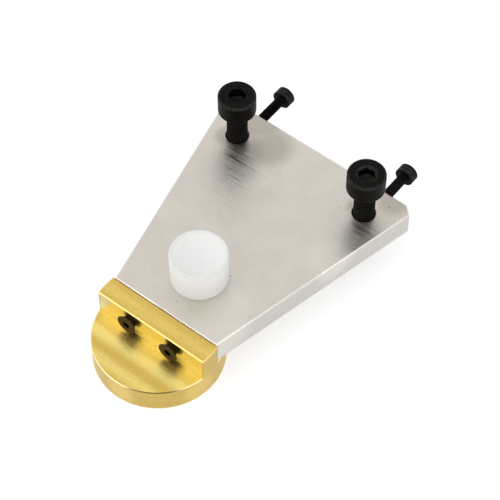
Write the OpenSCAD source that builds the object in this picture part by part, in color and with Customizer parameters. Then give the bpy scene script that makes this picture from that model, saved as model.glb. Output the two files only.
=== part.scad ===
// Tripod polishing holder for small steel watch parts, in millimetres.
// A brass foot carries the work on its underside. Two adjustable screws are the other two legs.
// Origin: centre of the foot's flat lower face. +X right, +Y towards the wide end, +Z up.

/* [Brass foot] */
// Diameter of the turned foot
foot_d = 24.3; // [22:0.1:30]
// Thickness of the disc under the plate
foot_t = 5.2; // [4:0.1:8]
// Thickness of the upright bar left across the disc
bar_t = 4.2; // [3:0.1:7]
// Bevel along the foot's outer edges
foot_edge = 0.15; // [0.05:0.05:0.4]
// Bevel along the bar's long front top edge
bar_front_edge = 0.2; // [0.05:0.05:0.5]
// Radius left by the cutter where the bar meets the disc
bar_fillet = 0.1; // [0.05:0.05:0.8]

/* [Base plate] */
// Thickness of the plate
plate_t = 5.2; // [4.5:0.1:8]
// Length from the bar to the rear edge
plate_len = 45.6; // [38:0.2:60]
// Width at the end against the bar
plate_w_front = 23.2; // [18:0.1:30]
// Width at the rear edge, before its corners are cut
plate_w_rear = 44.2; // [40:0.1:56]
// Corner cut measured along the rear edge
corner_cut_x = 2.2; // [0.5:0.1:3]
// Corner cut measured along the plate's length
corner_cut_y = 1.6; // [0.5:0.05:3]
// Bevel along the plate's edges
plate_edge = 0.25; // [0.05:0.05:0.5]

/* [Leg screws] */
// Thread diameter of a leg screw
leg_d = 4; // [3:0.5:5]
// Thread pitch of a leg screw
leg_pitch = 0.7; // [0.5:0.1:0.8]
// Length of a leg screw under its head
leg_len = 18; // [16:1:30]
// Head diameter of a leg screw
leg_head_d = 7.2; // [6:0.1:9]
// Head height of a leg screw
leg_head_h = 4; // [3.5:0.5:5]
// Key size of a leg screw, across the flats
leg_key = 3; // [2:0.5:4]
// Depth of a leg screw's socket
leg_key_depth = 2; // [1:0.25:2.5]
// Angle that the left leg screw has been turned to
leg_turn_left = 18; // [0:1:59]
// Angle that the right leg screw has been turned to
leg_turn_right = 40; // [0:1:59]
// Distance between the two leg screws
leg_spacing = 29.6; // [26:0.2:34]
// Distance from the plate's rear edge to the leg screws
leg_from_edge = 6.3; // [5:0.1:7]
// Radial clearance of a leg screw in its hole
leg_fit = 0.05; // [0.02:0.01:0.1]
// Width of the countersunk mouth of a leg screw's hole
leg_mouth = 0.25; // [0.1:0.05:0.5]

/* [Lock screws] */
// Thread diameter of a lock screw
lock_d = 2; // [1.6:0.2:2.4]
// Thread pitch of a lock screw
lock_pitch = 0.4; // [0.35:0.05:0.5]
// Length of a lock screw under its head
lock_len = 10; // [8:1:16]
// Head diameter of a lock screw
lock_head_d = 3.8; // [3:0.1:4.5]
// Head height of a lock screw
lock_head_h = 2; // [1.6:0.1:2.6]
// Key size of a lock screw, across the flats
lock_key = 1.5; // [1.2:0.1:1.7]
// Depth of a lock screw's socket
lock_key_depth = 1; // [0.6:0.1:1.2]
// Gap left between the left lock screw's tip and its leg
lock_gap_left = 1.5; // [0.2:0.1:3]
// Gap left between the right lock screw's tip and its leg
lock_gap_right = 0.8; // [0.2:0.1:3]
// Radial clearance of a lock screw in its hole
lock_fit = 0.05; // [0.02:0.01:0.1]
// Width of the countersunk mouth of a lock screw's hole
lock_mouth = 0.1; // [0.05:0.05:0.3]

/* [Foot screws] */
// Thread diameter of a foot screw
bolt_d = 2; // [1.6:0.2:2.4]
// Thread pitch of a foot screw
bolt_pitch = 0.4; // [0.35:0.05:0.5]
// Length of a foot screw with its countersunk head
bolt_len = 10; // [8:1:14]
// Head diameter of a foot screw
bolt_head_d = 4; // [3.6:0.1:4.6]
// Height of the straight rim of a foot screw's head
bolt_rim = 0.15; // [0.05:0.05:0.3]
// Key size of a foot screw, across the flats
bolt_key = 1.3; // [1:0.1:1.5]
// Depth of a foot screw's socket
bolt_key_depth = 0.7; // [0.4:0.1:0.9]
// Distance between the two foot screws
bolt_spacing = 9.5; // [7:0.5:14]
// Radial clearance of a foot screw in the bar
bolt_clear = 0.1; // [0.05:0.05:0.3]

/* [Finger knob] */
// Diameter of the knob
knob_d = 10.7; // [8:0.1:13]
// Height of the knob
knob_h = 6.9; // [6:0.1:9]
// Distance from the foot's axis to the knob's axis
knob_y = 11.8; // [10:0.2:20]
// Rounding of the knob's upper rim
knob_rim = 0.2; // [0.1:0.05:1.4]
// Depth of the finger dish in the knob's top
dish_depth = 1.8; // [1:0.05:2]
// Thread diameter of the stud that holds the knob
stud_d = 3; // [2:0.5:4]
// Thread pitch of the stud
stud_pitch = 0.5; // [0.4:0.05:0.7]
// Length of the stud, half of it in the plate and half in the knob
stud_len = 6; // [4:0.5:7]
// Key size of the stud, across the flats
stud_key = 1.5; // [0.9:0.1:1.5]

/* [Hidden] */
$fn = 96;

BRASS = [0.86, 0.70, 0.30];
STAINLESS = [0.80, 0.78, 0.74];
BLACKENED = [0.10, 0.10, 0.11];
ACETAL = [0.94, 0.94, 0.93];

// A cut runs this far past the face that it opens
over = 1;
// Gap round a screw that stays put in its tapped hole, and under a seated head
seat = 0.02;
// A thread is this deep for each millimetre of pitch
thread_depth = 0.613;
// Part of each turn that stays as a flat crest
crest = 0.125;
// A drilled hole ends in a cone this deep for each millimetre of its radius
drill_cone = 0.6;
// Part of a socket's width that its drilled cone takes
drill_share = 0.9;
// A socket's mouth stands clear of its corners by this much, for each millimetre of key size
socket_lip = 0.03;
// Bevel round the top of a cap screw's head, for each millimetre of the thread's diameter
head_bevel = 0.06;
// Space left between a screw's tip and the end of a blind hole
blind_gap = 0.3;

bar_front = -bar_t / 2;
bar_rear = bar_t / 2;
plate_low = foot_t;
plate_top = foot_t + plate_t;
plate_mid = foot_t + plate_t / 2;
plate_rear = bar_rear + plate_len;
leg_x = leg_spacing / 2;
leg_y = plate_rear - leg_from_edge;
lock_tip_y = leg_y + leg_d / 2;
bolt_x = bolt_spacing / 2;
bolt_hole_r = bolt_d / 2 + bolt_clear;
bolt_proud = bolt_rim + bolt_head_d / 2 - bolt_hole_r + seat;
bolt_tip_y = bar_front - bolt_proud + bolt_len;
stud_low = plate_top - stud_len / 2;
dish_r = knob_d / 2 - knob_rim;
dish_sphere = (dish_r * dish_r + dish_depth * dish_depth) / (2 * dish_depth);

// Outline of the plate, anticlockwise from its front left corner
side_slope = (plate_w_rear - plate_w_front) / 2 / plate_len;
side_x = plate_w_rear / 2 - side_slope * corner_cut_y;
plate_outline = [
  [-plate_w_front / 2, bar_rear],
  [plate_w_front / 2, bar_rear],
  [side_x, plate_rear - corner_cut_y],
  [plate_w_rear / 2 - corner_cut_x, plate_rear],
  [corner_cut_x - plate_w_rear / 2, plate_rear],
  [-side_x, plate_rear - corner_cut_y]
];

// Half outline of a thread from its tip at 0 up to z_end, with one ring of groove per pitch
function thread_outline(r, pitch, z_end) =
  let (depth = thread_depth * pitch, turns = floor((z_end - depth) / pitch - crest))
  concat(
    [[0, 0], [r - depth, 0]],
    [for (i = [0:turns - 1])
      let (z = depth + i * pitch)
      each [[r, z], [r, z + crest * pitch], [r - depth, z + (1 + crest) * pitch / 2]]],
    [[r, depth + turns * pitch], [r, z_end]]
  );

// Screw turned from one rod, standing on its tip: a thread up to z_end, then the head's half outline
module turned_screw(d, pitch, z_end, head) {
  rotate_extrude()
    polygon(concat(thread_outline(d / 2, pitch, z_end), head));
}

// Hexagonal socket that opens upwards at z = 0, with two flats square to X and a drilled cone below
module hex_socket(key, depth) {
  corner_d = key / cos(30);
  translate([0, 0, -depth])
    rotate([0, 0, 30])
      cylinder(d = corner_d, h = depth + over, $fn = 6);
  // the drill and the countersink both start inside the flats
  drill_r = key / 2 * drill_share;
  translate([0, 0, -depth - drill_r * drill_cone])
    cylinder(r1 = 0, r2 = drill_r, h = drill_r * drill_cone);
  mouth = corner_d / 2 + key * socket_lip - drill_r;
  translate([0, 0, -mouth])
    cylinder(r1 = drill_r, r2 = drill_r + mouth + over, h = mouth + over);
}

// Cap screw standing on its tip, its head above z = length
module cap_screw(d, pitch, length, head_d, head_h, key, key_depth) {
  r = head_d / 2;
  top = length + head_h;
  bevel = head_bevel * d;
  head = [[r - bevel / 2, length], [r, length + bevel / 2], [r, top - bevel], [r - bevel, top], [0, top]];
  difference() {
    turned_screw(d, pitch, length, head);
    translate([0, 0, top])
      hex_socket(key, key_depth);
  }
}

// Countersunk screw standing on its tip, the flat of its head at z = length
module countersunk_screw(d, pitch, length, head_d, rim, key, key_depth) {
  r = head_d / 2;
  cone_h = r - d / 2;
  head = [[r, length - rim], [r, length], [0, length]];
  difference() {
    turned_screw(d, pitch, length - rim - cone_h, head);
    translate([0, 0, length])
      hex_socket(key, key_depth);
  }
}

// Round hole from z = 0 downwards, widened by mouth at its upper edge
module mouthed_hole(r, depth, mouth) {
  translate([0, 0, -depth])
    cylinder(r = r, h = depth + over);
  translate([0, 0, -mouth])
    cylinder(r1 = r, r2 = r + mouth + over, h = mouth + over);
}

// Long square bar with its corner on the line from a to b, which bevels the edge that runs there
module edge_bevel(a, b, z, size) {
  run = b - a;
  side = size * sqrt(2);
  translate([a.x, a.y, z])
    rotate([0, 0, atan2(run.y, run.x)])
      translate([-over, 0, 0])
        rotate([45, 0, 0])
          translate([0, -side / 2, -side / 2])
            cube([norm(run) + 2 * over, side, side]);
}

// Stainless plate with its tapped holes
module base_plate() {
  color(STAINLESS)
    difference() {
      translate([0, 0, plate_low])
        linear_extrude(plate_t)
          polygon(plate_outline);
      for (i = [0:len(plate_outline) - 1]) {
        a = plate_outline[i];
        b = plate_outline[(i + 1) % len(plate_outline)];
        edge_bevel(a, b, plate_top, plate_edge);
        edge_bevel(a, b, plate_low, plate_edge);
      }
      for (side = [-1, 1]) {
        leg_hole(side * leg_x);
        lock_hole(side * leg_x);
        bolt_hole(side * bolt_x);
      }
      translate([0, knob_y, plate_top])
        mouthed_hole(stud_d / 2 + seat, stud_len / 2 + blind_gap, plate_edge);
    }
}

// Hole right through the plate for a leg screw, countersunk on both faces
module leg_hole(x) {
  translate([x, leg_y, plate_mid])
    for (turn = [0, 180])
      rotate([turn, 0, 0])
        translate([0, 0, plate_t / 2])
          mouthed_hole(leg_d / 2 + leg_fit, plate_t / 2 + over, leg_mouth);
}

// Hole from the rear edge into a leg screw's hole
module lock_hole(x) {
  translate([x, plate_rear, plate_mid])
    rotate([-90, 0, 0])
      mouthed_hole(lock_d / 2 + lock_fit, leg_from_edge, lock_mouth);
}

// Blind hole in the plate's front edge for a foot screw, drilled to a cone
module bolt_hole(x) {
  hole_r = bolt_d / 2 + seat;
  depth = bolt_tip_y - bar_rear + blind_gap;
  translate([x, bar_rear, plate_mid])
    rotate([90, 0, 0]) {
      mouthed_hole(hole_r, depth, lock_mouth);
      translate([0, 0, -depth - hole_r * drill_cone])
        cylinder(r1 = 0, r2 = hole_r, h = hole_r * drill_cone);
    }
}

// Brass foot: a turned disc with a bar left standing across it
module brass_foot() {
  color(BRASS)
    difference() {
      foot_blank();
      for (side = [-1, 1])
        translate([side * bolt_x, 0, plate_mid])
          rotate([90, 0, 0])
            cylinder(r = bolt_hole_r, h = bar_t + 2 * over, center = true);
    }
}

// The turned blank, milled away to disc height in front of the bar and behind it
module foot_blank() {
  r = foot_d / 2;
  step = r - bar_t / 2 + over;
  difference() {
    rotate_extrude()
      polygon([
        [0, 0], [r - foot_edge, 0], [r, foot_edge],
        [r, plate_top - foot_edge], [r - foot_edge, plate_top], [0, plate_top]
      ]);
    // step behind the bar, which the plate rests on
    translate([-r - over, bar_rear, foot_t])
      cube([2 * r + 2 * over, step, plate_t + over]);
    // open step in front of the bar, with the cutter's radius in its corner
    difference() {
      translate([-r - over, bar_front - step, foot_t])
        cube([2 * r + 2 * over, step, plate_t + over]);
      translate([-r - over, bar_front - bar_fillet, foot_t])
        difference() {
          cube([2 * r + 2 * over, bar_fillet + over, bar_fillet]);
          translate([-over, 0, bar_fillet])
            rotate([0, 90, 0])
              cylinder(r = bar_fillet, h = 2 * r + 4 * over);
        }
    }
    edge_bevel([-r, bar_front], [r, bar_front], plate_top, bar_front_edge);
    edge_bevel([-r, bar_rear], [r, bar_rear], plate_top, foot_edge);
    // bevel round the disc's upper edge, on both sides of the bar
    difference() {
      translate([0, 0, foot_t - foot_edge])
        difference() {
          cylinder(r = r + over, h = foot_edge + over / 2);
          cylinder(r1 = r, r2 = r - foot_edge - over / 2, h = foot_edge + over / 2);
        }
      translate([-r - 2 * over, bar_front, 0])
        cube([2 * r + 4 * over, bar_t, plate_top]);
    }
  }
}

// White finger knob with a dished top and a blind tapped hole for its stud
module finger_knob() {
  r = knob_d / 2;
  color(ACETAL)
    translate([0, knob_y, plate_top])
      difference() {
        union() {
          cylinder(r = r, h = knob_h - knob_rim);
          cylinder(r = dish_r, h = knob_h);
          translate([0, 0, knob_h - knob_rim])
            rotate_extrude()
              translate([dish_r, 0])
                circle(r = knob_rim);
        }
        translate([0, 0, knob_h - dish_depth + dish_sphere])
          sphere(r = dish_sphere);
        translate([0, 0, -over])
          cylinder(r = stud_d / 2 + seat, h = stud_len / 2 + blind_gap + over);
      }
}

// Headless stud, half in the plate and half in the knob
module knob_stud() {
  color(BLACKENED)
    translate([0, knob_y, stud_low])
      difference() {
        turned_screw(stud_d, stud_pitch, stud_len, [[0, stud_len]]);
        translate([0, 0, stud_len])
          hex_socket(stud_key, stud_len / 4);
      }
}

// Countersunk screw through the bar into the plate, its cone seated on the edge of the bar's hole
module foot_screw(x) {
  color(BLACKENED)
    translate([x, bolt_tip_y, plate_mid])
      rotate([90, 0, 0])
        countersunk_screw(bolt_d, bolt_pitch, bolt_len, bolt_head_d, bolt_rim, bolt_key, bolt_key_depth);
}

// Leg screw, its tip level with the foot's lower face
module leg_screw(x, turn) {
  color(BLACKENED)
    translate([x, leg_y, 0])
      rotate([0, 0, turn])
        cap_screw(leg_d, leg_pitch, leg_len, leg_head_d, leg_head_h, leg_key, leg_key_depth);
}

// Lock screw in the rear edge, backed off from its leg screw by gap
module lock_screw(x, gap) {
  color(BLACKENED)
    translate([x, lock_tip_y + gap, plate_mid])
      rotate([-90, 0, 0])
        cap_screw(lock_d, lock_pitch, lock_len, lock_head_d, lock_head_h, lock_key, lock_key_depth);
}

base_plate();
brass_foot();
finger_knob();
knob_stud();
foot_screw(-bolt_x);  // foot_screw_left
foot_screw(bolt_x);  // foot_screw_right
leg_screw(-leg_x, leg_turn_left);  // leg_screw_left
leg_screw(leg_x, leg_turn_right);  // leg_screw_right
lock_screw(-leg_x, lock_gap_left);  // lock_screw_left
lock_screw(leg_x, lock_gap_right);  // lock_screw_right
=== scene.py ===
# %% [markdown]
# The object is a small three-point holder used to polish steel parts by hand: a steel plate, a
# brass foot under its narrow end, two long screws as legs at its wide end, two small screws that
# lock them, and a white knob for the finger. The exact solids come first, as a fixed frame.
# Everything made here is a finer surface or a finish laid over that frame, in metres, in the same
# place.

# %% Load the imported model
import math
import bpy
import numpy as np
from mathutils import Matrix, Vector


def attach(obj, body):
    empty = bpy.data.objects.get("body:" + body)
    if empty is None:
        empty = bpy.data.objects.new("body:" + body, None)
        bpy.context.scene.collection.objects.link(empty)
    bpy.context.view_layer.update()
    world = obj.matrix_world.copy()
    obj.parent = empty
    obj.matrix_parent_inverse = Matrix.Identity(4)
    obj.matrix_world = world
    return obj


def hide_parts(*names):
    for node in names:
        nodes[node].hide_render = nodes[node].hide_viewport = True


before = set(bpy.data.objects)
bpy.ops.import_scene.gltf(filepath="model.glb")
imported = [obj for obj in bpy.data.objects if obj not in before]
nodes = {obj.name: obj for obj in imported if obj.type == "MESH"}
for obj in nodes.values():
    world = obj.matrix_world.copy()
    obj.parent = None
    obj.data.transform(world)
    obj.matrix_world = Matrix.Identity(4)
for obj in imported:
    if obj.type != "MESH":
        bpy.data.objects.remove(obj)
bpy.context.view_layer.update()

MM = 0.001


print("solids:", ", ".join(sorted(nodes)))

# %% [markdown]
# The view is a long lens looking down at the tool from the side of its foot. A camera could be
# placed by eye, but the outlines then never quite meet. Here the angles, distance and focal length
# are ones worked out from measured outlines: azimuth and elevation turn the camera about the foot,
# and two offsets say where the foot's centre lands in the square frame.

# %% Place the camera
FRAME_PX = 500
SENSOR = 36.0
NEAREST, FARTHEST = 0.01, 20
azimuth, elevation, roll = math.radians(38.223), math.radians(54.489), math.radians(-0.078)
distance, focal_px = 348.405 * MM, 1926.754
foot_px = (-90.302, -100.86)

back = Vector((math.sin(azimuth) * math.cos(elevation),
               -math.cos(azimuth) * math.cos(elevation), math.sin(elevation)))
level = Vector((math.cos(azimuth), math.sin(azimuth), 0))
rise = back.cross(level)
right = math.cos(roll) * level + math.sin(roll) * rise
up = math.cos(roll) * rise - math.sin(roll) * level
eye = back * distance - (right * foot_px[0] + up * foot_px[1]) * distance / focal_px

lens = bpy.data.cameras.new("camera")
lens.sensor_width = SENSOR
lens.lens = focal_px / FRAME_PX * SENSOR
lens.clip_start, lens.clip_end = NEAREST, FARTHEST
camera = bpy.data.objects.new("camera", lens)
camera.matrix_world = Matrix((right, up, back)).transposed().to_4x4()
camera.location = eye
bpy.context.scene.collection.objects.link(camera)
bpy.context.scene.camera = camera
bpy.context.scene.view_settings.view_transform = "Standard"
print("lens %.1f mm, camera at %s mm" % (lens.lens, [round(v / MM) for v in eye]))

# %% [markdown]
# Finishes are node materials. Joining sockets one by one takes many lines, so three short helpers
# do it: one puts an output or a plain value on an input, one makes a node and fills its inputs,
# and one opens a new material with its Principled shader.

# %% Make and join nodes
def feed(tree, socket, value):
    """Joins an output to an input socket, or sets a plain value on it."""
    if isinstance(value, bpy.types.NodeSocket):
        tree.links.new(value, socket)
    else:
        socket.default_value = value


def node(tree, kind, inputs=None, **settings):
    """A new node of that kind in the tree, with its settings and its inputs."""
    made = tree.nodes.new("ShaderNode" + kind)
    for name, value in settings.items():
        setattr(made, name, value)
    for name, value in (inputs or {}).items():
        feed(tree, made.inputs[name], value)
    return made


def new_material(name, **constants):
    """A material, its tree and the inputs of its Principled shader, whose plain numbers are set
    on its own sockets."""
    made = bpy.data.materials.new(name)
    made.use_nodes = True
    shader = made.node_tree.nodes["Principled BSDF"].inputs
    for socket, value in constants.items():
        shader[socket.replace("_", " ")].default_value = value
    return made, made.node_tree, shader


print("ready to make nodes and materials")

# %% [markdown]
# A pattern is made of sums, products and mixes, and reads best when each of them is one short
# call. Everywhere below a value may be a node's output or a plain number.

# %% Sums, products and mixes
def math_node(tree, operation, *values, clamp=False):
    """A Math node of that operation on the values. Returns its output."""
    made = node(tree, "Math", dict(enumerate(values)), operation=operation, use_clamp=clamp)
    return made.outputs[0]


def plus(tree, a, b):
    """a and b together."""
    return math_node(tree, "ADD", a, b)


def minus(tree, a, b):
    """a less b."""
    return math_node(tree, "SUBTRACT", a, b)


def times(tree, a, b):
    """a times b."""
    return math_node(tree, "MULTIPLY", a, b)


def over(tree, a, b):
    """a divided by b."""
    return math_node(tree, "DIVIDE", a, b)


def absolute(tree, a):
    """a without its sign."""
    return math_node(tree, "ABSOLUTE", a)


def above(tree, a, limit):
    """One where a is greater than the limit, and nothing elsewhere."""
    return math_node(tree, "GREATER_THAN", a, limit)


def below(tree, a, limit):
    """One where a is less than the limit, and nothing elsewhere."""
    return math_node(tree, "LESS_THAN", a, limit)


def length(tree, a, b):
    """Square root of a squared plus b squared."""
    return math_node(tree, "SQRT", plus(tree, times(tree, a, a), times(tree, b, b)))


def ramp(tree, value, low, high, to_low=0.0, to_high=1.0):
    """Maps low..high smoothly onto to_low..to_high, and holds those beyond."""
    made = node(tree, "MapRange", {"Value": value, "From Min": low, "From Max": high,
                                   "To Min": to_low, "To Max": to_high},
                interpolation_type="SMOOTHSTEP")
    return made.outputs["Result"]


MIX_SOCKETS = {"FLOAT": (0, 2, 3, 0), "VECTOR": (0, 4, 5, 1), "RGBA": (0, 6, 7, 2)}


def mix(tree, data, factor, a, b):
    """(1 - factor) times a, plus factor times b, for that kind of data."""
    factor_in, a_in, b_in, result = MIX_SOCKETS[data]
    made = node(tree, "Mix", {factor_in: factor, a_in: a, b_in: b}, data_type=data)
    return made.outputs[result]


def blend(tree, factor, a, b):
    """Mixes two numbers by a factor."""
    return mix(tree, "FLOAT", factor, a, b)


def tint(tree, factor, a, b):
    """Mixes two colours by a factor. A plain colour is given as red, green and blue."""
    a, b = (colour + (1,) if isinstance(colour, tuple) else colour for colour in (a, b))
    return mix(tree, "RGBA", factor, a, b)


print("kinds of data that mix:", ", ".join(MIX_SOCKETS))

# %% [markdown]
# Every pattern is laid out in millimetres on Object coordinates. A pitch in a material then reads
# like a pitch on a drawing, and the pattern stays on the piece when the piece moves.

# %% Places, noise and bump
def split(tree, vector):
    """The x, y and z outputs of a vector."""
    return tuple(node(tree, "SeparateXYZ", {0: vector}).outputs)


def join(tree, x, y, z):
    """A vector from its three parts."""
    return node(tree, "CombineXYZ", {0: x, 1: y, 2: z}).outputs[0]


def millimetres(tree):
    """Object coordinates in millimetres."""
    metres = node(tree, "TexCoord").outputs["Object"]
    return node(tree, "VectorMath", {0: metres, "Scale": 1 / MM}, operation="SCALE").outputs[0]


def facing(tree):
    """The x, y and z of the direction in which the surface faces."""
    return split(tree, node(tree, "NewGeometry").outputs["Normal"])


def noise(tree, vector, scale, detail, roughness):
    """Soft noise with that many spots to a unit of the vector, as a value around a half."""
    made = node(tree, "TexNoise", {"Vector": vector, "Scale": scale, "Detail": detail,
                                   "Roughness": roughness})
    return made.outputs["Fac"]


def bump(tree, shader, height, metres):
    """Raises the surface by height times that many metres, through the shader's Normal."""
    raised = node(tree, "Bump", {"Strength": 1.0, "Distance": metres, "Height": height})
    feed(tree, shader["Normal"], raised.outputs["Normal"])


print("patterns are laid out at", round(1 / MM), "units to a metre")

# %% [markdown]
# An effect that several finishes share is a node group: it is built once, and each material places
# it with its own values. One helper opens a group, and one places it.

# %% Open and place node groups
def new_group(name, inputs, outputs):
    """A shader group, the sockets it is given and the ones it puts out. Inputs are named with
    their usual values, and a vector has none."""
    tree = bpy.data.node_groups.new(name, "ShaderNodeTree")
    for label, value in inputs.items():
        kind = "NodeSocketVector" if value is None else "NodeSocketFloat"
        made = tree.interface.new_socket(name=label, in_out="INPUT", socket_type=kind)
        if value is not None:
            made.default_value = value
    for label in outputs:
        tree.interface.new_socket(name=label, in_out="OUTPUT", socket_type="NodeSocketFloat")
    start, end = tree.nodes.new("NodeGroupInput"), tree.nodes.new("NodeGroupOutput")
    print("group", name, "takes", ", ".join(inputs), "and gives", ", ".join(outputs))
    return tree, start.outputs, end.inputs


def placed(tree, group, **values):
    """Places a group in a tree with its own values. Returns its outputs."""
    made = tree.nodes.new("ShaderNodeGroup")
    made.node_tree = group
    for name, value in values.items():
        feed(tree, made.inputs[name], value)
    return made.outputs

# %% [markdown]
# Ground steel, milled brass and turned plastic all carry the same kind of mark: fine lines, long
# one way and close together the other way. It could be drawn with a wave texture, but its lines
# are too even. A noise stretched along the cut is closer, so one group makes it: the vector's
# first part runs along the lines, the second across them, and a slow wander bends the lines a
# little, as a grinding belt does.

# %% The group that draws cutting lines
COARSER = 4.0


def cutting_lines_group():
    """Two noises whose first coordinate is divided by Length and second by Pitch. The second of
    them is COARSER times as wide and longer by the square root of that. Height is their mean, and
    Tone is the coarser one. Wander shifts the lines across by a slow noise."""
    tree, given, out = new_group(
        "cutting_lines", {"Vector": None, "Length": 10.0, "Pitch": 0.1, "Wander": 0.3},
        ("Height", "Tone"))
    along, across, depth = split(tree, given["Vector"])
    slow = noise(tree, given["Vector"], 0.09, 1.0, 0.4)
    across = plus(tree, across, times(tree, minus(tree, slow, 0.5), given["Wander"]))
    heights = []
    for width in (1.0, COARSER):
        place = join(tree, over(tree, along, times(tree, given["Length"], width ** 0.5)),
                     over(tree, across, times(tree, given["Pitch"], width)),
                     over(tree, depth, given["Length"]))
        heights.append(noise(tree, place, 1.0, 2.0, 0.6))
    feed(tree, out["Height"], blend(tree, 0.5, *heights))
    feed(tree, out["Tone"], heights[1])
    return tree


cutting_lines = cutting_lines_group()

# %% [markdown]
# Handling leaves small things on a finished face: specks of dirt, and faint cloudy patches where
# it was wiped. One group scatters the specks with cell noise, so that each material can have its
# own amount. Only a fifth of the cells pass the threshold, which keeps the specks sparse.

# %% The group that scatters specks
EMPTY_CELLS = 0.8


def handling_marks_group():
    """Specks: one less the distance from a cell's point over Radius, and nothing further out, in
    the cells whose random number is above EMPTY_CELLS. Cells are about Cell wide. Patches: a slow
    noise with its middle stretched."""
    tree, given, out = new_group(
        "handling_marks", {"Vector": None, "Cell": 3.0, "Radius": 0.08}, ("Specks", "Patches"))
    cells = node(tree, "TexVoronoi", {"Vector": given["Vector"], "Randomness": 1.0,
                                      "Scale": over(tree, 1.0, given["Cell"])}, feature="F1")
    away = times(tree, cells.outputs["Distance"], given["Cell"])
    speck = math_node(tree, "SUBTRACT", 1.0, over(tree, away, given["Radius"]), clamp=True)
    filled = above(tree, split(tree, cells.outputs["Color"])[0], EMPTY_CELLS)
    feed(tree, out["Specks"], times(tree, speck, filled))
    clouds = noise(tree, given["Vector"], 0.22, 3.0, 0.55)
    feed(tree, out["Patches"], ramp(tree, clouds, 0.3, 0.7))
    return tree


handling_marks = handling_marks_group()

# %% [markdown]
# Some marks are not random: a thin dark line where two pieces meet, or a pit at one place. Both
# are distances. The first helper measures from a line that runs along x, the second from a list of
# points, and each turns its distance into a mask that is one close by and nothing further away.

# %% Masks by distance
CORE = 0.35


def near_line(tree, y, z, line, inner, outer):
    """One within inner of the line along x at line's y and z, falling to nothing at outer."""
    away = length(tree, minus(tree, y, line[0]), minus(tree, z, line[1]))
    return ramp(tree, away, inner, outer, 1.0, 0.0)


def near_points(tree, place, points):
    """The largest of one mask per point (x, y, z, radius): one within CORE of the radius, falling
    to nothing at the radius."""
    mask = None
    for x, y, z, radius in points:
        away = node(tree, "VectorMath", {0: place, 1: (x, y, z)}, operation="DISTANCE")
        spot = ramp(tree, away.outputs["Value"], radius * CORE, radius, 1.0, 0.0)
        mask = spot if mask is None else math_node(tree, "MAXIMUM", mask, spot)
    return mask


print("a spot is full within", CORE, "of its radius")

# %% [markdown]
# The plate is stainless steel, ground on a belt and handled since. Next to the fine scratches, its
# upper face has pits, lighter patches of painted light, and darker patches of painted shade round
# the leg screws and towards the rear corners, which stand for a darker reflection. These few are
# listed one by one. The tones go from the level faces to the sides and the long bevels, which are
# painted darker, a painted shade.

# %% Marks and tones of the plate
PLATE_TOP = 10.4
PITS = ((0.27, 5.0, 0.16), (17.8, 45.3, 0.20), (4.45, 15.2, 0.15), (10.1, 41.8, 0.14),
        (10.6, 39.7, 0.14), (11.9, 39.8, 0.12), (20.4, 43.3, 0.14), (1.7, 3.8, 0.11))
# Painted light: lighter patches on the upper face, each x, y and radius.
PAINTED_LIGHT_PATCHES = ((12.0, 3.0, 9.0), (7.5, 9.5, 6.0), (16.5, 29.0, 6.0), (-6.5, 35.5, 4.5))
# Painted shade: darker patches round the leg screws and towards the rear corners.
PAINTED_DARK_PATCHES = ((-12.5, 46.5, 5.5), (-8.0, 43.0, 6.0), (17.8, 46.8, 4.6), (-16.4, 40.0, 3.0),
       (-12.5, 40.0, 2.8), (12.9, 41.6, 2.6), (-13.6, 44.4, 2.4))
# The side and long bevel tones are darker copies of the level tone, a painted shade.
STEEL = {
    "level": ((0.688, 0.646, 0.580), (0.730, 0.687, 0.620)),
    "side": ((0.56, 0.541, 0.507), (0.63, 0.611, 0.577)),
    "long bevel": (0.56, 0.54, 0.50),
    "cloud": (0.62, 0.585, 0.54),
    "painted_light_patch": (0.80, 0.76, 0.69),
    "painted_dark_patch": (0.34, 0.31, 0.27),
    "dirt": (0.09, 0.075, 0.06),
}


def near_marks(tree, place, marks):
    """The mask of marks (x, y, radius) on the plate's upper face."""
    return near_points(tree, place, [(x, y, PLATE_TOP, radius) for x, y, radius in marks])


print("placed by hand:", len(PITS), "pits,", len(PAINTED_LIGHT_PATCHES), "bright places,", len(PAINTED_DARK_PATCHES), "painted_darker ones")

# %% [markdown]
# Fine lines run side by side across the plate and break up every dark reflection. Its sides are
# ground along their length. The face turns the pattern: on a level face the lines follow x, and on
# an upright one they follow its own level direction, worked out from the normal. One set of lines
# gives the soft grain, a closer set gives the scratches, and a mottled noise breaks up both. Soft
# light that leaves the plate takes its own colour, as from a matt sheet, so that it doesn't darken
# the pieces that stand on it.

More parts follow.
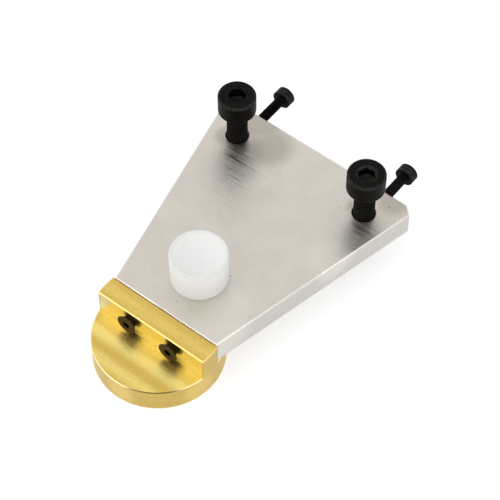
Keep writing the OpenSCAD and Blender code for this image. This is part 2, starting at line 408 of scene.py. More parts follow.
# %% Ground steel
def steel_tone(tree, place, facing_x, level_face, scratches):
    """The tone of the steel: level or side by the face, the side a darker copy that is painted
    shade, then the long bevels painted darker, then each mark laid over it in turn: clouds,
    lighter patches of painted light, darker patches of painted shade, and dirt.
    """
    marks = placed(tree, handling_marks, Vector=place, Cell=4.0, Radius=0.10)
    mottle = noise(tree, place, 2.2, 3.0, 0.7)
    fine = blend(tree, 0.75, ramp(tree, scratches["Tone"], 0.3, 0.7),
                 ramp(tree, mottle, 0.35, 0.65))
    tone = tint(tree, level_face, tint(tree, fine, *STEEL["side"]),
                tint(tree, fine, *STEEL["level"]))
    # The long bevels are painted darker here, a painted shade.
    long_bevel = times(tree, above(tree, absolute(tree, facing_x), 0.4), level_face)
    long_bevel_painted_shade = times(tree, long_bevel, ramp(tree, mottle, 0.4, 0.6, 0.5, 0.9))
    tone = tint(tree, long_bevel_painted_shade, tone, STEEL["long bevel"])
    tone = tint(tree, times(tree, marks["Patches"], 0.40), tone, STEEL["cloud"])
    # Painted light on the lighter patches, then painted shade on the darker ones.
    tone = tint(tree, times(tree, near_marks(tree, place, PAINTED_LIGHT_PATCHES), 0.6), tone, STEEL["painted_light_patch"])
    tone = tint(tree, times(tree, near_marks(tree, place, PAINTED_DARK_PATCHES), 0.55), tone, STEEL["painted_dark_patch"])
    specks, pits = times(tree, marks["Specks"], 0.7), near_marks(tree, place, PITS)
    dirt = times(tree, math_node(tree, "MAXIMUM", specks, pits), 0.85)
    return tint(tree, dirt, tone, STEEL["dirt"])


def ground_steel():
    """Steel whose lines follow x on level faces and run lengthwise on upright ones. Lengthwise is
    the normal's x times y less the normal's y times x. Height is the grain plus a share of the
    scratches."""
    made, tree, shader = new_material("ground_steel", Metallic=1.0)
    place = millimetres(tree)
    x, y, z = split(tree, place)
    facing_x, facing_y, facing_z = facing(tree)
    level_face = above(tree, absolute(tree, facing_z), 0.5)
    lengthwise = minus(tree, times(tree, facing_x, y), times(tree, facing_y, x))
    flow = mix(tree, "VECTOR", level_face, join(tree, lengthwise, z, 0.0), place)
    grain = placed(tree, cutting_lines, Vector=flow, Length=4.0, Pitch=0.09, Wander=0.4)
    scratches = placed(tree, cutting_lines, Vector=flow, Length=4.5, Pitch=0.045, Wander=0.4)
    feed(tree, shader["Base Color"], steel_tone(tree, place, facing_x, level_face, scratches))
    feed(tree, shader["Roughness"], ramp(tree, scratches["Tone"], 0.40, 0.60, 0.28, 0.39))
    height = math_node(tree, "MULTIPLY_ADD", ramp(tree, scratches["Tone"], 0.38, 0.62), 0.36,
                       grain["Height"])
    bump(tree, shader, height, 0.03 * MM)
    soft_ray = node(tree, "LightPath").outputs["Is Diffuse Ray"]
    feed(tree, shader["Metallic"], minus(tree, 1.0, soft_ray))
    return made


steel = ground_steel()
print(steel.name, "has", len(steel.node_tree.nodes), "nodes")

# %% [markdown]
# The foot is one piece of brass, turned and then milled. The milling cutter crossed its flats in
# passes and left broad soft bands, brightest under the middle of a pass. A cosine draws them well
# enough: one on the disc, one on top of the bar, fading away from the bar and close against it.

# %% Passes of the milling cutter
FOOT_TOP, FOOT_R = 5.2, 12.15
BAR_FRONT, BAR_BACK = -2.1, 2.1
BAR_FROM = 7.0
PASS_WIDTH = 4.3
DISC_PASS, BAR_PASS = -5.9, -0.2


def cutter_passes(tree, y, middle):
    """Half of one plus the cosine of the distance from a pass's middle over its width in turns."""
    turns = times(tree, minus(tree, y, middle), 2 * math.pi / PASS_WIDTH)
    return math_node(tree, "MULTIPLY_ADD", math_node(tree, "COSINE", turns), 0.5, 0.5)


def milled_bands(tree, y, on_bar):
    """Brightness of the flats: on the disc the passes fade outwards, and behind the last middle
    the light falls towards the bar; on the bar they are fainter."""
    outer = times(tree, cutter_passes(tree, y, DISC_PASS), ramp(tree, y, -9.0, -6.8, 0.72, 1.0))
    inner = ramp(tree, y, -5.4, -4.4, 1.0, 0.40)
    on_disc = blend(tree, above(tree, y, DISC_PASS), outer, inner)
    return blend(tree, on_bar, on_disc, times(tree, cutter_passes(tree, y, BAR_PASS), 0.4))


print("a pass is", PASS_WIDTH, "mm wide, the last one on the disc at y", DISC_PASS)

# %% [markdown]
# Brass shows where it has been touched, and its tone carries painted light too. Two painted
# highlights lie on the disc's side, a stretch of its rim between them is painted darker as a
# reflection, painted shade darkens the inner corner where the bar stands on the disc, and dirt has
# gathered where the bar meets the plate. The broken edges are painted brightest, partly polish and
# partly a painted highlight, except in the inner corner at the bar's foot, where it is left out.

# %% Marks and tones of the foot
# Painted highlights: two lighter spots on the disc's side, each x, y, z and radius.
PAINTED_SIDE_HIGHLIGHTS = ((1.1, -12.1, 2.6, 3.8), (11.8, -2.9, 2.6, 4.5))
# Painted reflection: darker spots along the rim, between the two side highlights.
RIM_PAINTED_DARK_SPOTS = [(12.1 * math.cos(math.radians(a)), 12.1 * math.sin(math.radians(a)), FOOT_TOP, 2.4)
               for a in (-69, -60, -51, -42)]
BAR_FOOT, PLATE_JOINT = (BAR_FRONT, FOOT_TOP), (BAR_BACK, PLATE_TOP)
BRASS = {
    "flat": ((0.72, 0.50, 0.115), (0.99, 0.80, 0.255)),
    "bar front": ((0.80, 0.71, 0.34), (0.64, 0.52, 0.21)),
    "turned": ((0.57, 0.40, 0.088), (0.69, 0.495, 0.125)),
    "painted_side_highlight": (0.78, 0.57, 0.155),
    "edge": ((0.93, 0.79, 0.44), (0.84, 0.61, 0.23)),
    "painted_rim_reflection": (0.30, 0.18, 0.06),
    "speck": (0.30, 0.19, 0.05),
    "bar foot": (0.45, 0.28, 0.05),
    "joint": (0.12, 0.05, 0.015),
}


def brass_tone(tree, place, upright, turned, facing_z, detail):
    """The tone of the brass: flat, bar front or turned side by the face, with painted light on the
    bar front and painted shade on the turned side, then the edges' painted highlight and each mark
    laid over it in turn. An edge faces upwards by about 0.65, give or take 0.25."""
    y, z = split(tree, place)[1:]
    on_bar = above(tree, z, BAR_FROM)
    light = math_node(tree, "ADD", milled_bands(tree, y, on_bar),
                      times(tree, minus(tree, detail, 0.5), 0.6), clamp=True)
    # The bar front is painted lighter at its foot and darker towards the plate, a painted
    # gradient.
    front_tone = tint(tree, ramp(tree, z, FOOT_TOP, PLATE_TOP), *BRASS["bar front"])
    # The turned side is darker, partly its finish and partly painted shade for the floor it
    # reflects.
    side_tone = tint(tree, near_points(tree, place, PAINTED_SIDE_HIGHLIGHTS),
                     tint(tree, detail, *BRASS["turned"]), BRASS["painted_side_highlight"])
    tone = tint(tree, upright, tint(tree, light, *BRASS["flat"]),
                tint(tree, turned, front_tone, side_tone))
    # Upward edges take a painted highlight, partly real polish; the bar's inner foot corner does
    # not.
    edge = below(tree, absolute(tree, minus(tree, facing_z, 0.65)), 0.25)
    inner_corner = near_line(tree, y, z, BAR_FOOT, 0.25, 0.3)
    edge = times(tree, edge, minus(tree, 0.8, times(tree, inner_corner, 0.8)))
    tone = tint(tree, edge, tone, tint(tree, on_bar, *BRASS["edge"]))
    # Painted reflection: the rim is darker between the two side highlights.
    painted_rim_reflection = times(tree, edge, near_points(tree, place, RIM_PAINTED_DARK_SPOTS))
    tone = tint(tree, painted_rim_reflection, tone, BRASS["painted_rim_reflection"])
    marks = placed(tree, handling_marks, Vector=place, Cell=2.2, Radius=0.12)
    tone = tint(tree, times(tree, marks["Specks"], 0.3), tone, BRASS["speck"])
    # Painted shade: the inner corner at the bar's foot is darker.
    bar_foot_painted_shade = times(tree, near_line(tree, y, z, BAR_FOOT, 0.05, 0.35), 0.35)
    tone = tint(tree, bar_foot_painted_shade, tone, BRASS["bar foot"])
    return tint(tree, near_line(tree, y, z, PLATE_JOINT, 0.12, 0.26), tone, BRASS["joint"])


print("tones of the foot:", ", ".join(BRASS))

# %% [markdown]
# The foot's side carries rings from the lathe, deep enough to spread light up and down. Its flats
# carry only shallow lines, with grit and short scratches over them. Such fine lines alone would
# blur to nothing in the reflections, so the roughness is speckled by the grit too.

# %% Satin brass
TURNED_FROM = 11.95


def satin_brass():
    """Brass whose lines go round its turned side and along x on its milled flats. Height in
    millimetres is the lines, deep on the turned side, plus scratches on the flats, plus grit."""
    made, tree, shader = new_material("satin_brass", Metallic=1.0)
    place = millimetres(tree)
    x, y, z = split(tree, place)
    facing_z = facing(tree)[2]
    upright = below(tree, absolute(tree, facing_z), 0.5)
    turned = times(tree, upright, above(tree, length(tree, x, y), TURNED_FROM))
    around = times(tree, math_node(tree, "ARCTAN2", y, x), FOOT_R)
    flow = join(tree, blend(tree, turned, x, around), blend(tree, upright, y, z), 0.0)
    lines = placed(tree, cutting_lines, Vector=flow, Length=4.0, Pitch=0.06, Wander=0.3)
    scratches = placed(tree, cutting_lines, Vector=flow, Length=2.0, Pitch=0.05, Wander=0.3)
    grit = noise(tree, place, 3.4, 4.0, 0.7)
    detail = blend(tree, 0.5, ramp(tree, lines["Tone"], 0.3, 0.7), ramp(tree, grit, 0.32, 0.68))
    tone = brass_tone(tree, place, upright, turned, facing_z, detail)
    feed(tree, shader["Base Color"], tone)
    speckle = blend(tree, 0.65, scratches["Tone"], grit)
    feed(tree, shader["Roughness"], ramp(tree, speckle, 0.38, 0.62, 0.27, 0.35))
    grooves = times(tree, lines["Height"], blend(tree, turned, 0.012, 0.14))
    grooves = math_node(tree, "MULTIPLY_ADD", scratches["Tone"], blend(tree, upright, 0.03, 0.0),
                        grooves)
    bump(tree, shader, plus(tree, grooves, times(tree, grit, 0.008)), 1.0 * MM)
    return made


brass = satin_brass()
print(brass.name, "has", len(brass.node_tree.nodes), "nodes")

# %% [markdown]
# The knob is a white engineering plastic, turned on a lathe. A little light sinks into it, which
# softens its shading, and the tool has left very faint rings. The rings follow the distance from
# the knob's axis on the top and the height on the side. Its tone carries painted shade: the side
# is painted darker towards its base, the shoulder and the lip greyer, and the dish a little darker
# outwards, and its tone changes little elsewhere.

# %% White plastic
KNOB_Y = 11.8
RING_R = 5.0
PLASTIC = {
    "side": ((0.792, 0.787, 0.770), (0.893, 0.894, 0.882)),
    "dish": ((0.845, 0.847, 0.848), (0.838, 0.838, 0.822)),
    "shoulder_painted_shade": (0.82, 0.82, 0.81),
    "lip_painted_shade": (0.768, 0.768, 0.755),
    "ring": (0.5, 0.5, 0.5),
    "speck": (0.5, 0.48, 0.42),
}


def plastic_tone(tree, place, radius, upward, rings):
    """The tone of the plastic: side by height, painted darker towards its base, or dish by radius,
    painted a little darker outwards, then painted shade on the rim, then marks.
    """
    z = split(tree, place)[2]
    # Painted shade: the side darkens towards its base and greys at its shoulder.
    side_tone = tint(tree, ramp(tree, z, 10.0, 16.5), *PLASTIC["side"])
    side_tone = tint(tree, ramp(tree, z, 16.5, 17.1), side_tone, PLASTIC["shoulder_painted_shade"])
    # Painted shade: the dish is a little darker and yellower outwards.
    dish_tone = tint(tree, ramp(tree, radius, 1.0, 4.6), *PLASTIC["dish"])
    tone = tint(tree, above(tree, upward, 0.4), side_tone, dish_tone)
    # Painted shade: the lip is painted greyer.
    lip_painted_shade = times(tree, ramp(tree, radius, 4.55, 4.85), ramp(tree, z, 16.9, 17.15))
    tone = tint(tree, lip_painted_shade, tone, PLASTIC["lip_painted_shade"])
    shown = times(tree, ramp(tree, rings, 0.25, 0.75), ramp(tree, radius, 2.5, 4.4, 0.03, 0.08))
    tone = tint(tree, shown, tone, PLASTIC["ring"])
    marks = placed(tree, handling_marks, Vector=place, Cell=2.5, Radius=0.06)
    return tint(tree, times(tree, marks["Specks"], 0.12), tone, PLASTIC["speck"])


def turned_plastic():
    """White plastic with faint lathe rings about the knob's axis: the lines' second part is the
    distance from the axis where the face looks up, and the height elsewhere."""
    made, tree, shader = new_material("turned_plastic", Subsurface_Weight=0.35,
                                      Subsurface_Scale=2.0 * MM, Specular_IOR_Level=0.3)
    shader["Subsurface Radius"].default_value = (1.0, 1.0, 0.95)
    place = millimetres(tree)
    x, y, z = split(tree, place)
    off_y = minus(tree, y, KNOB_Y)
    radius = length(tree, x, off_y)
    upward = absolute(tree, facing(tree)[2])
    across = blend(tree, above(tree, upward, 0.6), z, radius)
    around = times(tree, math_node(tree, "ARCTAN2", off_y, x), RING_R)
    rings = placed(tree, cutting_lines, Vector=join(tree, around, across, 0.0), Length=30.0,
                   Pitch=0.12, Wander=0.0)
    tone = plastic_tone(tree, place, radius, upward, rings["Tone"])
    feed(tree, shader["Base Color"], tone)
    feed(tree, shader["Roughness"], ramp(tree, rings["Tone"], 0.2, 0.8, 0.42, 0.55))
    bump(tree, shader, rings["Height"], 0.004 * MM)
    return made


plastic = turned_plastic()
print(plastic.name, "has", len(plastic.node_tree.nodes), "nodes")

# %% [markdown]
# The screws are steel with a black oxide skin: almost no colour, hardly any shine, and a greyer
# edge wherever a key or a finger has rubbed. The surfaces made below carry a per-point attribute
# for this, high on the edges, the thread crests, the lock heads' side band, a wide socket mouth
# and a large socket's floor. It is partly rubbing and partly a painted highlight where those faces
# catch the light. The material breaks it up with noise before it thins the skin there. The two
# screws in the foot get a warmer, olive brown skin of their own, a painted reflection of the brass
# that stands round them.

# %% Black oxide
def black_oxide(name, dark, light, rubbed_and_lit, shine):
    """A black skin between two tones that gives way to the rubbed colour where the attribute of
    rubbing
    and painted light is high: the factor is that attribute times a noise."""
    made, tree, shader = new_material(name, Metallic=0.0, Specular_IOR_Level=shine)
    place = millimetres(tree)
    wear_and_light = node(tree, "Attribute", attribute_name="wear_and_light").outputs["Fac"]
    mottle = noise(tree, place, 1.6, 4.0, 0.65)
    fine = noise(tree, place, 2.6, 4.0, 0.7)
    skin = tint(tree, ramp(tree, mottle, 0.35, 0.65), dark, light)
    worn_and_lit = times(tree, wear_and_light, ramp(tree, fine, 0.40, 0.60, 0.40, 1.0))
    feed(tree, shader["Base Color"], tint(tree, worn_and_lit, skin, rubbed_and_lit))
    feed(tree, shader["Roughness"], ramp(tree, mottle, 0.25, 0.75, 0.36, 0.52))
    bump(tree, shader, fine, 0.01 * MM)
    return made


oxide = black_oxide("black_oxide_skin", dark=(0.0020, 0.0018, 0.0014),
                    light=(0.0055, 0.0050, 0.0042), rubbed_and_lit=(0.060, 0.057, 0.053), shine=0.04)
# Painted reflection: this skin's warm brown stands for the brass round the foot screws.
oxide_with_painted_brass = black_oxide("black_oxide_painted_brass_reflection", dark=(0.024, 0.013, 0.002),
                         light=(0.052, 0.032, 0.007), rubbed_and_lit=(0.075, 0.062, 0.045), shine=0.06)
print("skins:", oxide.name, "and", oxide_with_painted_brass.name)

# %% [markdown]
# Every round piece is a profile turned about an axis, so one function makes them all from numpy
# arrays. It takes a grid of radii and heights, one row per step of the profile and one column per
# angle, and returns a closed mesh: rows are joined by quads, the last column meets the first, and
# each end shuts in a fan at the axis. Because a radius may change with the angle too, the same
# grid holds hexagons and helical threads.

# %% Turn a grid into a mesh
SHARP = 38.0


def turned_mesh(name, radius, height, angle, place, wear_and_light=None):
    """Points are (r cos a, r sin a, z) for a grid of r and z, carried to place, a 4 by 4 matrix in
    millimetres. The first and last rows are fans that close on the axis. Faces shade smoothly, but
    an edge sharper than SHARP degrees stays crisp."""
    rows, cols = radius.shape
    local = np.stack([radius * np.cos(angle), radius * np.sin(angle), height], -1).reshape(-1, 3)
    poles = np.array([[0, 0, height[0].mean()], [0, 0, height[-1].mean()]])
    points = np.vstack([local, poles]) @ np.array(place)[:3, :3].T + np.array(place)[:3, 3]
    i, j = np.meshgrid(np.arange(rows - 1), np.arange(cols), indexing="ij")
    k = (j + 1) % cols
    corners = [i * cols + j, i * cols + k, (i + 1) * cols + k, (i + 1) * cols + j]
    quads = np.stack(corners, -1).reshape(-1, 4)
    ring = np.arange(cols)
    after = (ring + 1) % cols
    last = (rows - 1) * cols
    low = np.stack([after, ring, np.full(cols, rows * cols)], -1)
    high = np.stack([last + ring, last + after, np.full(cols, rows * cols + 1)], -1)
    mesh = bpy.data.meshes.new(name)
    mesh.from_pydata((points * MM).tolist(), [], quads.tolist() + low.tolist() + high.tolist())
    mesh.polygons.foreach_set("use_smooth", np.ones(len(mesh.polygons), bool))
    if wear_and_light is not None:
        worn_and_lit = mesh.attributes.new("wear_and_light", "FLOAT", "POINT")
        worn_and_lit.data.foreach_set("value", np.append(wear_and_light.reshape(-1), [0, 0]).astype(np.float32))
    mesh.set_sharp_from_angle(angle=math.radians(SHARP))
    mesh.update()
    made = bpy.data.objects.new(name, mesh)
    bpy.context.scene.collection.objects.link(made)
    print(name, "has", len(mesh.polygons), "faces")
    return made

# %% [markdown]
# Real edges are never sharp: each one is broken by a small radius, and that radius is what catches
# the light. The profile is given as corners with a radius and an amount of rubbing and painted
# light each, and every corner becomes a short arc. The arc is the curve with a handle at the
# corner, a
# Bezier of second degree, which needs no case for the turning side.

# %% Round the corners of a profile
ARC_STEPS = 6


def rounded_profile(corners):
    """Corners are (r, z, radius, rubbing and painted light). Each is replaced by points on the
    second-degree curve that starts and ends radius away from it along its two edges and has the
    corner as its handle. Returns r, z and the rubbing and painted light."""
    corners = np.array(corners, float)
    pts, cut, rub_and_light = corners[:, :2], corners[:, 2], corners[:, 3]
    profile, wear_and_light = [pts[:1]], [rub_and_light[:1]]
    t = np.linspace(0, 1, ARC_STEPS)[:, None]
    for before, here, after, size, worn_and_lit in zip(pts[:-2], pts[1:-1], pts[2:], cut[1:-1], rub_and_light[1:-1]):
        start = here + (before - here) / np.linalg.norm(before - here) * size
        end = here + (after - here) / np.linalg.norm(after - here) * size
        arc = (1 - t) ** 2 * start + 2 * t * (1 - t) * here + t ** 2 * end
        profile.append(arc if size > 0 else here[None])
        wear_and_light.append(np.full(len(profile[-1]), worn_and_lit))
    profile = np.vstack(profile + [pts[-1:]])
    return profile[:, 0], profile[:, 1], np.concatenate(wear_and_light + [rub_and_light[-1:]])


print("a broken edge is an arc of", ARC_STEPS, "points")

# %% [markdown]
# A screw thread is a groove wound along a helix. It could be made with the Screw modifier, but
# that leaves open ends to patch. On the grid it is only a radius that depends on height and angle:
# the phase is the height over the pitch less the share of the turn, and the groove's depth follows
# that phase.

# %% The thread's radius
THREAD_DEPTH = 0.613
CREST, ROOT = 0.125, 0.25
ROUNDING = 0.35
RUN_OUT = 1.5
M4, M2 = (2.0, 0.7), (1.0, 0.4)


def thread_radius(z, angle, thread, end):
    """Phase = z / pitch - angle / turn. The radius is the crest's for CREST of the pitch and the
    root's for ROOT of it, with a flank between that is straight but for a share, ROUNDING, of a
    soft step. A cone at the tip trims it, and the groove fades over RUN_OUT pitches at the end of
    the cut. Returns the radius, and how near each point is to a crest."""
    outer, pitch = thread
    phase = (z / pitch - angle / (2 * np.pi)) % 1.0
    away = np.abs(phase - 0.5) * 2
    depth = np.clip((away - CREST) / (1 - CREST - ROOT), 0, 1)
    depth = depth * depth * (3 - 2 * depth) * ROUNDING + depth * (1 - ROUNDING)
    fade = np.clip((end - z) / (RUN_OUT * pitch), 0, 1)
    cut = outer - THREAD_DEPTH * pitch * depth * fade
    cone = outer - THREAD_DEPTH * pitch + z
    return np.minimum(cut, cone), (1 - depth) * fade


def hexagon_radius(angle, key):
    """Half the width across the flats over the cosine of the angle from the nearest flat."""
    turn = (angle + np.pi / 6) % (np.pi / 3) - np.pi / 6
    return key / 2 / np.cos(turn)


for label, (outer, pitch) in (("M4", M4), ("M2", M2)):
    print(label, "thread is %.3f mm deep" % (THREAD_DEPTH * pitch))

# %% [markdown]
# All six screws are the same idea: a threaded shank, a head turned on the same axis, and a
# hexagonal socket let into it. One function stacks the rows in order from the tip: thread, head,
# the countersunk mouth of the socket, its six walls, and the drill's cone at the bottom. The
# head's corners are passed in, so cap screws and countersunk screws differ only in that list.
# Rubbing and painted light are stacked with the rows: the thread's crests, the head's edges, a
# wide mouth and the floor of a large socket get them, partly because the key and the fingers reach
# them and partly as a painted highlight where they catch the light.

# %% Build a screw
COLUMNS = 96
ROWS_PER_TURN = 16
MOUTH_STEPS = np.array([0.0, 0.15, 0.35, 0.6, 0.8, 1.0])[:, None]
WALL_ROWS = 6
WALL_START = 0.02
DRILL_STEPS = np.array([1.0, 0.98, 0.80, 0.55, 0.25, 0.04])[:, None]
DRILL_SLOPE = 0.55
WIDE_MOUTH, LARGE_KEY, SOCKET_WEAR_AND_LIGHT = 0.3, 2.0, 0.6
COARSE_PITCH = 0.5


def crest_wear_and_light(crest, pitch, rubbed_and_lit):
    """The nearness to a crest to a power, so that only the top carries rubbing and painted light,
    times the amount given. A coarse thread needs the higher power for a line as fine."""
    return crest ** (12 if pitch > COARSE_PITCH else 4) * rubbed_and_lit


def screw(name, place, thread, thread_end, head, face, socket, finish, inside=None, rubbed_and_lit=0.3):
    """Blocks of radius, height, and rubbing with painted light, from the tip to the bottom of the
    socket. Thread is its outer radius and pitch, head a list of corners (r, z, radius, rubbing and
    painted light) from the thread's end to the socket's edge, face the height of its face, and
    socket the key's width, its depth and the radius of the countersink. The opening is the larger
    of the countersink and the hexagon at each angle, and the countersink sinks at 45 degrees until
    it meets the hexagon. Inside is the socket's own finish."""
    key, key_depth, mouth = socket
    angle = np.linspace(0, 2 * np.pi, COLUMNS, endpoint=False)[None, :]
    z_thread = np.arange(0, thread_end, thread[1] / ROWS_PER_TURN)[:, None]
    r_thread, crest = thread_radius(z_thread, angle, thread, thread_end)
    r_head, z_head, head_wear_and_light = (column[:, None] for column in rounded_profile(head))
    hexagon = hexagon_radius(angle, key)
    drop = max(mouth - key / 2, 0.0)
    sunk = MOUTH_STEPS * drop
    # A wide mouth and a large socket's floor are painted lighter, partly rubbing, partly painted
    # light.
    mouth_wear_and_light = SOCKET_WEAR_AND_LIGHT if drop > WIDE_MOUTH else 0.0
    z_wall = np.linspace(face - drop - WALL_START, face - key_depth, WALL_ROWS)[:, None]
    r_floor = np.minimum(DRILL_STEPS * key / 2 / DRILL_STEPS[1], hexagon)
    z_floor = face - key_depth - (1 - DRILL_STEPS) * key / 2 * DRILL_SLOPE
    floor_wear_and_light = SOCKET_WEAR_AND_LIGHT if key > LARGE_KEY else 0.0
    blocks = [(r_thread, z_thread, crest_wear_and_light(crest, thread[1], rubbed_and_lit)),
              (r_head, z_head, head_wear_and_light),
              (np.maximum(mouth - sunk, hexagon), face - sunk, mouth_wear_and_light),
              (hexagon, z_wall, 0.0),
              (r_floor, z_floor, floor_wear_and_light)]
    blocks = [np.broadcast_arrays(*block, angle)[:3] for block in blocks]
    radius, height, wear_and_light = (np.vstack(column) for column in zip(*blocks))
    made = turned_mesh(name, radius, height, angle, place, wear_and_light)
    made.data.materials.append(finish)
    if inside is not None:
        made.data.materials.append(inside)
        row = np.append(np.repeat(np.arange(len(radius) - 1), COLUMNS),
                        np.repeat([0, len(radius)], COLUMNS))
        in_socket = row >= len(r_thread) + len(r_head)
        made.data.polygons.foreach_set("material_index", in_socket.astype(np.int32))
    return made


def standing(x, y, turn):
    """Place of a screw that stands on its tip at x, y on the ground, turned about its axis."""
    return Matrix.Translation((x, y, 0)) @ Matrix.Rotation(math.radians(turn), 4, "Z")


def lying(x, y, z, turn, towards):
    """Place of a screw whose tip is at x, y, z and whose head points along +y or -y."""
    tilt = Matrix.Rotation(math.radians(-90 * towards), 4, "X")
    return Matrix.Translation((x, y, z)) @ tilt @ Matrix.Rotation(math.radians(turn), 4, "Z")

# %% [markdown]
# The legs are M4 screws, 18 mm long under the head, and stand with their tips level with the
# foot's face. The head is 7.2 mm wide and 4 mm high, with a 3 mm key. Its upper edge is a narrow
# bevel whose two corners keys and fingers have rubbed; they are painted lighter, partly for that
# rubbing and partly as a painted highlight. The right one's socket has the wider mouth. That mouth
# and the floor of each socket are painted lighter too, partly rubbing and partly painted light.

# %% The leg screws
LEG_X, LEG_Y, LEG_LEN, LEG_HEAD_R, LEG_HEAD_H = 14.8, 41.4, 18.0, 3.6, 4.0
LEG_TOP = LEG_LEN + LEG_HEAD_H
LEG_CUT = LEG_LEN - 0.5
LEG_KEY, LEG_KEY_DEPTH = 3.0, 2.0


def leg_head(mouth):
    """Corners of the cap head, from the shank to the socket's mouth."""
    low, top, r = LEG_LEN, LEG_TOP, LEG_HEAD_R
    return [(1.87, LEG_CUT, 0, 0), (1.95, low, 0.15, 0), (r - 0.12, low, 0.05, 0),
            (r, low + 0.12, 0.05, 0.4), (r, low + 0.3, 0, 0), (r, top - 0.36, 0, 0),
            (r, top - 0.24, 0.04, 0.8), (r - 0.12, top - 0.12, 0, 0.1),
            (r - 0.24, top, 0.04, 0.8), (r - 0.36, top, 0, 0.1), (mouth + 0.1, top, 0, 0.1),
            (mouth, top, 0, 0.3)]


legs = {}
for side, x, turn, mouth in (("left", -LEG_X, 15, 1.62), ("right", LEG_X, 40, 1.95)):
    legs[side] = screw("leg_" + side, standing(x, LEG_Y, turn), M4, LEG_CUT, leg_head(mouth),
                       LEG_TOP, (LEG_KEY, LEG_KEY_DEPTH, mouth), oxide, rubbed_and_lit=0.5)
    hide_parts("leg_screw_" + side)
    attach(legs[side], side + "_leg")

# %% [markdown]
# The lock screws are M2, 10 mm long, and come in from the rear edge at mid thickness. They are
# made by the same function with smaller numbers, and lie on their side with the head away from the
# plate. A ring is turned into the side of the head. The side band round it is painted lighter,
# partly rubbing and partly a painted highlight, while the underside keeps the plain black skin.
# The right screw's thread crests are painted lighter than the left's. The head is a hair under 2
# mm high, so that rounding never grows the object's box.

# %% The lock screws
LOCK_Z, LOCK_LEN, LOCK_HEAD_R, LOCK_HEAD_H = 7.8, 10.0, 1.9, 1.9995
LOCK_TOP = LOCK_LEN + LOCK_HEAD_H
LOCK_CUT = LOCK_LEN - 0.3
LOCK_SOCKET = (1.5, 1.0, 0.92)


def lock_head(ring):
    """Corners of the small cap head, with a ring let into its side by that depth."""
    # The side band's high values paint a highlight on it; the underside keeps the plain black
    # skin.
    low, top, r, mouth = LOCK_LEN, LOCK_TOP, LOCK_HEAD_R, LOCK_SOCKET[2]
    return [(0.95, LOCK_CUT, 0, 0), (0.98, low, 0.08, 0), (r - 0.16, low, 0, 0),
            (r - 0.10, low, 0.03, 0.2), (r, low + 0.10, 0.03, 0.35), (r, low + 0.40, 0, 0.7),
            (r, low + 0.78, 0.02, 0.3), (r - ring, low + 0.86, 0.02, 0),
            (r, low + 0.98, 0.02, 0.6), (r, low + 1.25, 0, 0.5), (r, top - 0.30, 0, 0.1),
            (r, top - 0.12, 0.05, 0.0), (r - 0.12, top, 0.05, 0.3), (r - 0.25, top, 0, 0),
            (mouth, top, 0, 0)]


locks = {}
for side, x, tip, ring, rubbed_and_lit in (("left", -LEG_X, 44.9, 0.05, 0.1),
                                   ("right", LEG_X, 44.2, 0.02, 0.6)):
    locks[side] = screw("lock_" + side, lying(x, tip, LOCK_Z, 11, 1), M2, LOCK_CUT,
                        lock_head(ring), LOCK_TOP, LOCK_SOCKET, oxide, rubbed_and_lit=rubbed_and_lit)
    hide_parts("lock_screw_" + side)
    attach(locks[side], side + "_lock")

# %% [markdown]
# Two countersunk M2 screws hold the foot. Their heads are too big for the plain holes in the bar,
# so the cone bears on the hole's edge and the head stands 1.07 mm proud of it. They wear a warm
# brown skin, a painted reflection of the brass round them, and only their sockets keep the black
# skin of the other screws.

# %% The foot screws
FOOT_X, PROUD = 4.75, 1.07
BOLT_LEN, BOLT_CUT = 10.0, 8.7
BOLT_SOCKET = (1.3, 0.7, 0.74)


def foot_head():
    """Corners of the countersunk head: cone, thin rim, flat face."""
    top, mouth = BOLT_LEN, BOLT_SOCKET[2]
    return [(0.94, 8.75, 0, 0), (1.0, 8.85, 0.02, 0), (1.9, 9.75, 0, 0), (2.0, 9.85, 0.04, 0.5),
            (2.0, top, 0.05, 0.8), (1.86, top, 0, 0), (mouth + 0.05, top, 0, 0),
            (mouth, top, 0, 0.3)]


foot_screws = {}
tip_y = BAR_FRONT - PROUD + BOLT_LEN
for side, x in (("left", -FOOT_X), ("right", FOOT_X)):
    foot_screws[side] = screw("foot_bolt_" + side, lying(x, tip_y, LOCK_Z, 25, -1), M2, BOLT_CUT,
                              foot_head(), BOLT_LEN, BOLT_SOCKET, oxide_with_painted_brass, inside=oxide)
    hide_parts("foot_screw_" + side)
    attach(foot_screws[side], "holder")

# %% [markdown]
# The knob is a short white cylinder with a soft rim and a dished top that holds the fingertip. The
# lathe tool leaves a tiny pip where it reaches the axis. Its profile runs from the blind hole in
# its base, over the base, side and rim, and down the dish, which is part of a sphere.

# %% The finger knob
KNOB_R, KNOB_H, KNOB_RIM, DISH = 5.35, 6.9, 0.3, 1.8
BORE = [[0.04, 3.3], [1.45, 3.3], [1.52, 3.22], [1.52, 0.05], [1.57, 0.0]]
PIP_H, PIP_R, PIP_FROM, AXIS_GAP = 0.05, 0.13, 0.5, 0.02
KNOB_COLUMNS = 128


def dish_sphere():
    """Radius where the dish leaves the rim, its slope there and its sphere's radius. The sphere
    through the edge and the lowest point has the radius (edge squared + drop squared) / (2 drop),
    and the edge moves with the slope, so the three are found by turns until they agree."""
    slope = 0.7
    for _ in range(8):
        edge_r = KNOB_R - KNOB_RIM - KNOB_RIM * math.sin(slope)
        drop = DISH - KNOB_RIM * (1 - math.cos(slope))
        sphere = (edge_r ** 2 + drop ** 2) / (2 * drop)
        slope = math.asin(edge_r / sphere)
    return edge_r, slope, sphere


